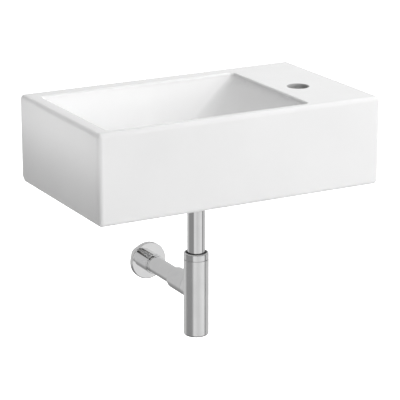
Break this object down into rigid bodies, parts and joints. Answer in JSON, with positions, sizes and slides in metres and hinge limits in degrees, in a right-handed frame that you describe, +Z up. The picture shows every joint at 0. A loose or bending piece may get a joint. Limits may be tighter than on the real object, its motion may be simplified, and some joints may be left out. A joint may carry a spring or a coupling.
{
  "type": "wall hung basin",
  "caption": "White ceramic wall hung basin with a sloped rectangular bowl and a tap ledge on the right, with click waste, chrome bottle trap and wall bolts.",
  "frame": {"origin": "on the basin's flat back face, midway between its two wall bolts", "axes": "+X to the right for someone facing the wall, +Y into the wall, +Z up"},
  "size_m": [0.55, 0.385, 0.4318],
  "materials": {
    "ceramic": "white gloss glaze",
    "nylon": "natural nylon",
    "zinc_steel": "zinc plated",
    "white_plastic": "satin",
    "black_rubber": "matt",
    "grey_rubber": "matt",
    "chrome": "polished",
    "brass": "turned",
    "spring_steel": "drawn wire",
    "black_plastic": "satin"
  },
  "bodies": {
    "basin": {"ceramic_basin": "ceramic", "wall_plugs": "nylon", "hanger_bolts": "zinc_steel", "fixing_sleeves": "white_plastic", "fixing_washers": "zinc_steel", "fixing_nuts": "zinc_steel", "waste_upper_seal": "white_plastic", "waste_body": "chrome", "latch_cartridge": "black_plastic", "latch_spring": "spring_steel", "waste_lower_seal": "black_rubber", "waste_slip_washer": "white_plastic", "waste_back_nut": "brass", "inlet_gasket": "black_rubber", "inlet_nut": "chrome", "inlet_tube": "chrome", "collar_nut": "chrome", "collar_slip_ring": "white_plastic", "collar_seal": "black_rubber", "trap_bottle": "chrome", "outlet_nut": "chrome", "outlet_slip_ring": "white_plastic", "outlet_seal": "black_rubber", "wall_arm": "chrome"},
    "plug": {"plug_cap": "chrome", "plug_seal": "black_rubber", "plug_stem": "brass"},
    "cleaning_thread": {"cleaning_seal": "black_rubber"},
    "cleaning_plug": {"cleaning_cap": "chrome"},
    "wall_rosette": {"rosette": "chrome", "rosette_ring": "grey_rubber"}
  },
  "joints": [
    {"name": "plug_lift", "type": "slide", "parent": "basin", "child": "plug", "axis": [0, 0, 1], "range_m": [0, 0.008], "deforming": ["latch_spring"]},
    {"name": "cleaning_plug_drop", "type": "slide", "parent": "basin", "child": "cleaning_thread", "axis": [0, 0, -1], "range_m": [0, 0.008]},
    {"name": "cleaning_plug_turn", "type": "hinge", "parent": "cleaning_thread", "child": "cleaning_plug", "pos_m": [-0.025, -0.193, -0.3073], "axis": [0, 0, -1], "range_deg": [0, 1441]},
    {"name": "rosette_slide", "type": "slide", "parent": "basin", "child": "wall_rosette", "axis": [0, -1, 0], "range_m": [0, 0.08]}
  ],
  "couplings": [
    {"joint": "cleaning_plug_turn", "follows": "cleaning_plug_drop", "rad_per_m": 3141.6}
  ]
}
